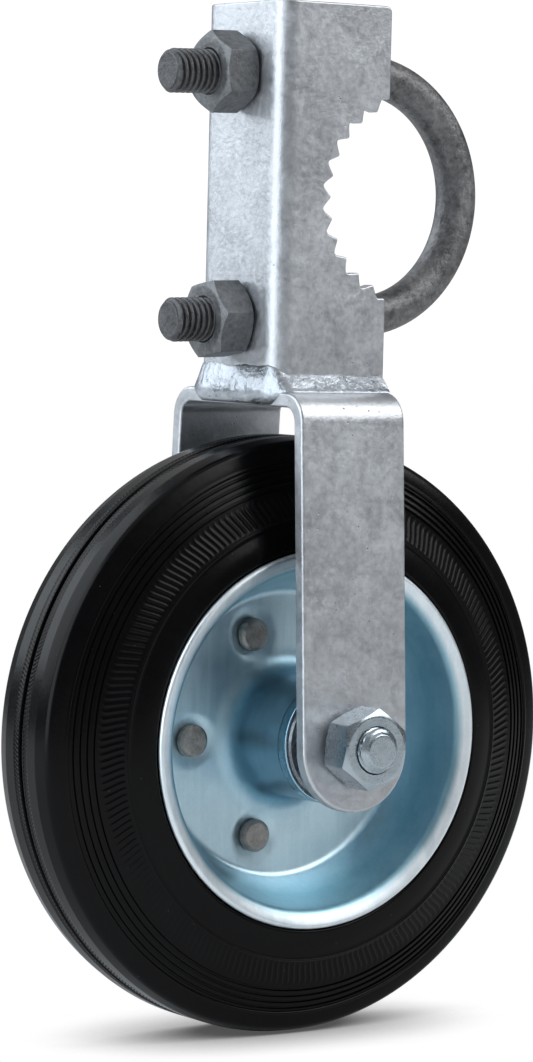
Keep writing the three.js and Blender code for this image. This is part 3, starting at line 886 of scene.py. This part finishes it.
def clamp_channel():
    back = CHANNEL_LOW[0]
    front = CHANNEL_HIGH[0]
    half_width = CHANNEL_HIGH[1] - WALL / 2
    top = CHANNEL_HIGH[2]
    radius = CHANNEL_BEND - WALL / 2
    bar = Bar(half_width - radius, radius, math.pi / 2)
    straight = bar.half + bar.bend_length
    reach = straight + (front - (back + WALL / 2 + radius))
    cells = []

    def to_s(x):
        return straight + (x - (back + WALL / 2 + radius))

    for side in (-1, 1):
        outline = [(0.0, -top), (side * bar.half, -top), (side * bar.half, top), (0.0, top)]
        for centre in (CLAMP_Z, -CLAMP_Z):
            outline += [(side * U_BOLT_HOLE * math.sin(math.radians(t)),
                         centre + U_BOLT_HOLE * math.cos(math.radians(t)))
                        for t in np.linspace(0, 180, 21)]
        outline = [(0.0 if abs(u) < 1e-6 else u, v) for u, v in outline]
        cells.append(outline if side > 0 else outline[::-1])
        for k in range(8):
            a = bar.half + bar.bend_length * k / 8
            b = bar.half + bar.bend_length * (k + 1) / 8
            cell = [(side * a, -top), (side * b, -top), (side * b, top), (side * a, top)]
            cells.append(cell if side > 0 else cell[::-1])
        teeth = [(to_s(x), z) for x, z in saddle_line()]
        low, high = teeth[0], teeth[-1]
        corner = 1.8
        flange = [(straight, -top)]
        flange += arc_points((reach - 0.8, -top + 0.8), 0.8, -90, 0, 4)
        flange += arc_points((reach - 0.7, low[1] - 0.7), 0.7, 0, 90, 4) + teeth
        flange += arc_points((reach - 0.7, high[1] + 0.7), 0.7, -90, 0, 4)
        flange += arc_points((reach - corner, top - corner), corner, 0, 90, 6)
        flange += [(straight, top)]
        cell = [(side * s, z) for s, z in flange]
        cells.append(cell if side > 0 else cell[::-1])

    def bend(s, z, t):
        out, deep, angle = bar.at(abs(s))
        side = 1 if s >= 0 else -1
        return back + WALL / 2 + deep - t * math.cos(angle), side * (out + t * math.sin(angle)), z

    verts, faces = plate(cells, WALL, bend, edge=0.55, segments=3)
    make("clamp_channel_plate", verts, faces, PLATE, "root", ["clamp_channel"], "galvanised_steel", crease=60,
         weighted=True)


clamp_channel()

# ---- Weld bead ----------------------------------------------------------------------------------


def channel_weld():
    """A lumpy bead laid round the channel's foot. On the web's side it also covers the crown's edge."""
    back, front, half = CHANNEL_LOW[0], CHANNEL_HIGH[0], CHANNEL_HIGH[1]
    end = front - GAP
    path = rounded([(end, half), (back, half, CHANNEL_BEND), (back, -half, CHANNEL_BEND), (end, -half)], 16)
    points = []
    for a, b in zip(path, path[1:]):
        steps = max(1, int((b - a).length / 0.45))
        points += [a.lerp(b, k / steps) for k in range(steps)]
    points.append(path[-1])
    foot = CHANNEL_LOW[2]
    verts, rows = [], []
    travelled = 0.0
    for index, here in enumerate(points):
        before, after = points[max(index - 1, 0)], points[min(index + 1, len(points) - 1)]
        along = (after - before).normalized()
        out = Vector((along.y, -along.x))
        if (here - Vector(((back + front) / 2, 0))).dot(out) < 0:
            out = -out
        travelled += (here - before).length
        web = smoothstep(0.2, 0.95, -out.x)
        ripple = noise.noise(Vector((travelled * 0.11, 3.1, 0)))
        lump = noise.noise(Vector((travelled * 0.55, 7.7, 0)))
        height = 4.5 + 2.2 * web + 1.0 * ripple + 0.3 * lump
        width = 3.9 - 1.8 * web + 0.5 * noise.noise(Vector((travelled * 0.23, 1.3, 5))) + 0.2 * lump
        base = foot - 0.35
        drop = 3.7 * web
        first = len(verts)
        profile = [(-0.6, height), (0.02, height), (0.3, height - 0.3)]
        for t in (0.2, 0.4, 0.6, 0.8):
            bulge = 0.4 * math.sin(math.pi * t) + 0.2 * noise.noise(Vector((travelled * 0.8, t * 3, 2)))
            profile.append((0.3 + (width - 0.4) * t**1.25 + bulge * 0.6,
                            (height - 0.3) * (1 - t) + bulge * 0.5))
        profile += [(width, 0.3 - 0.2 * web), (width * (1 - 0.1 * web) + 0.1, -0.1 - drop * 0.45)]
        profile += [(width * (1 - web) + 0.35 * web, -0.1 - drop), (-0.6 - 0.8 * web, -0.1 - drop)]
        for o, up in profile:
            x, y = here.x + out.x * o, here.y + out.y * o
            verts.append((x, y, base + up))
        rows.append(list(range(first, first + len(profile))))
    count = len(rows[0])
    faces = []
    for a, b in zip(rows, rows[1:]):
        faces += [(a[i], a[(i + 1) % count], b[(i + 1) % count], b[i]) for i in range(count)]
    faces += [tuple(rows[0]), tuple(reversed(rows[-1]))]
    piece = make("channel_weld_bead", *outward(verts, faces), WELD, "root", ["channel_weld"],
                 "galvanised_steel", crease=70)
    soften = piece.modifiers.new("soften", "SUBSURF")
    soften.levels = soften.render_levels = 1


channel_weld()

# ---- U-bolt -------------------------------------------------------------------------------------


def u_bolt():
    """The rod in the clamp's own axes, X along its legs from the channel's web, then tilted into place."""
    rod = 5.45
    bend, end, thread = 39, -22.5, 42
    turns = [2 * math.pi * j / ROD_SIDES for j in range(ROD_SIDES)]
    rod_rings = []

    def plain_ring(x, z, normal):
        return [(x + normal[0] * rod * math.sin(a), rod * math.cos(a), z + normal[1] * rod * math.sin(a))
                for a in turns]

    # The rings run from the upper thread's end, round the bend, to the lower thread's end. Each starts at +Y.
    cut_verts, cut_rows = threaded(thread, 5.85, rod, 1.1)
    for row in cut_rows:
        rod_rings.append([(end + cut_verts[i][2], cut_verts[i][0], CLAMP_Z + cut_verts[i][1]) for i in row])
    for k in range(1, 9):
        rod_rings.append(plain_ring(end + thread + (bend - end - thread) * k / 8, CLAMP_Z, (0, 1)))
    for k in range(1, 73):
        angle = math.pi / 2 - math.pi * k / 72
        normal = (math.cos(angle), math.sin(angle))
        rod_rings.append(plain_ring(bend + CLAMP_Z * normal[0], CLAMP_Z * normal[1], normal))
    for k in range(1, 8):
        rod_rings.append(plain_ring(bend + (end + thread - bend) * k / 8, -CLAMP_Z, (0, -1)))
    for row in reversed(cut_rows):
        rod_rings.append([(end + cut_verts[i][2], cut_verts[i][0], -CLAMP_Z - cut_verts[i][1]) for i in row])
    verts = [tuple(TO_CLAMP @ Vector(v)) for ring in rod_rings for v in ring]
    rows = [list(range(ROD_SIDES * k, ROD_SIDES * (k + 1))) for k in range(len(rod_rings))]
    make("u_bolt_rod", *outward(verts, rings(rows, closed=False)), ROD, "u_bolt", ["u_bolt"],
         "dark_galvanised_steel", crease=75)


u_bolt()

# ---- Bearing parts, which keep their CAD shape ---------------------------------------------------

for name, node in frame["nodes"].items():
    if name == "roller_cage":
        chosen = NYLON
    elif name.startswith("roller_") or name == "axle_sleeve":
        chosen = BEARING
    else:
        continue
    node.data.materials.clear()
    node.data.materials.append(chosen)

# ---- Floor, light and camera --------------------------------------------------------------------

floor_z = (AXLE_Z - WHEEL_RADIUS) / 1000 - 0.0002


def stage():
    """A pale round floor. Seen by the camera it glows plain white, but for a shadow painted close under the
    wheel from ambient occlusion.
    """
    s = Shader("pale_floor")
    tint = s.ramp(s.noise(3, 2, 0.5), (0.3, 0.78), (0.7, 0.82))
    floor_material = s.finish(Base_Color=tint, Roughness=0.9, Metallic=0, Specular_IOR_Level=0.1)
    seen = s.nodes.new("ShaderNodeLightPath").outputs["Is Camera Ray"]
    # painted shadow: the camera sees a glow that darkens with ambient occlusion close under the wheel
    near = s.nodes.new("ShaderNodeAmbientOcclusion")
    near.samples = 16
    near.inputs["Distance"].default_value = 0.04
    shadow_painted_glow = s.nodes.new("ShaderNodeEmission")
    s.links.new(s.ramp(near.outputs["AO"], (0.12, 0.08), (0.45, 0.5), (0.75, 1.0)), shadow_painted_glow.inputs["Strength"])
    choice = s.nodes.new("ShaderNodeMixShader")
    s.links.new(seen, choice.inputs[0])
    s.links.new(s.surface.outputs[0], choice.inputs[1])
    s.links.new(shadow_painted_glow.outputs[0], choice.inputs[2])
    s.links.new(choice.outputs[0], s.nodes["Material Output"].inputs["Surface"])
    mesh = bpy.data.meshes.new("floor")
    rim = [(7 * math.cos(math.radians(5 * k)), 7 * math.sin(math.radians(5 * k)), 0) for k in range(72)]
    mesh.from_pydata(rim, [], [tuple(range(72))])
    mesh.materials.append(floor_material)
    floor = bpy.data.objects.new("floor", mesh)
    floor.location = (AXLE_X / 1000, 0, floor_z)
    bpy.context.scene.collection.objects.link(floor)


stage()


def world():
    shade = bpy.data.worlds.new("studio")
    bpy.context.scene.world = shade
    shade.use_nodes = True
    nodes, links = shade.node_tree.nodes, shade.node_tree.links
    nodes.clear()
    output = nodes.new("ShaderNodeOutputWorld")
    mix = nodes.new("ShaderNodeMixShader")
    path = nodes.new("ShaderNodeLightPath")
    room = nodes.new("ShaderNodeBackground")
    room.inputs["Color"].default_value = (0.92, 0.96, 1.0, 1)
    room.inputs["Strength"].default_value = 0.2
    white = nodes.new("ShaderNodeBackground")
    white.inputs["Color"].default_value = (1, 1, 1, 1)
    white.inputs["Strength"].default_value = 1.05
    links.new(path.outputs["Is Camera Ray"], mix.inputs[0])
    links.new(room.outputs[0], mix.inputs[1])
    links.new(white.outputs[0], mix.inputs[2])
    links.new(mix.outputs[0], output.inputs[0])


world()


def softbox(name, azimuth, elevation, distance, size, power, aim=(-0.026, 0, -0.09), color=(1, 1, 1)):
    """A rectangular light seen from the object at an azimuth (0 is -Y, 90 is +X) and an elevation."""
    a, e = math.radians(azimuth), math.radians(elevation)
    away = Vector((math.sin(a) * math.cos(e), -math.cos(a) * math.cos(e), math.sin(e)))
    data = bpy.data.lights.new(name, "AREA")
    data.shape = "RECTANGLE"
    data.size, data.size_y = size
    data.energy = power
    data.color = color
    light = bpy.data.objects.new(name, data)
    light.location = Vector(aim) + away * distance
    light.rotation_euler = away.to_track_quat("Z", "Y").to_euler()
    light.visible_camera = False
    bpy.context.scene.collection.objects.link(light)


COOL = (0.93, 1.0, 1.06)
softbox("left_box", -87, 16, 1.15, (0.85, 1.5), 13, color=COOL)
softbox("back_left_box", -140, 32, 1.3, (1.1, 1.2), 12, color=COOL)
softbox("right_box", 42, 39, 1.2, (1.0, 0.75), 9.3)
softbox("top_box", -20, 84, 1.3, (1.6, 1.6), 4)
softbox("back_box", 155, 34, 1.6, (1.2, 1.2), 1.8)


def camera():
    yaw, pitch, roll = math.radians(-34.249), math.radians(3.626), math.radians(1.376)
    back = Vector((math.sin(yaw) * math.cos(pitch), -math.cos(yaw) * math.cos(pitch), math.sin(pitch)))
    right = Vector((0, 0, 1)).cross(back).normalized()
    up = back.cross(right)
    right, up = right * math.cos(roll) + up * math.sin(roll), up * math.cos(roll) - right * math.sin(roll)
    data = bpy.data.cameras.new("camera")
    data.lens = 137.79
    data.sensor_width = 36
    data.clip_start, data.clip_end = 0.05, 60
    eye = bpy.data.objects.new("camera", data)
    target = Vector((-0.0306, 0, -0.08928))
    turned = Matrix((right, up, back)).transposed().to_4x4()
    eye.matrix_world = Matrix.Translation(target + back * 1.08874) @ turned
    bpy.context.scene.collection.objects.link(eye)
    bpy.context.scene.camera = eye


camera()
bpy.context.scene.view_settings.view_transform = "Standard"
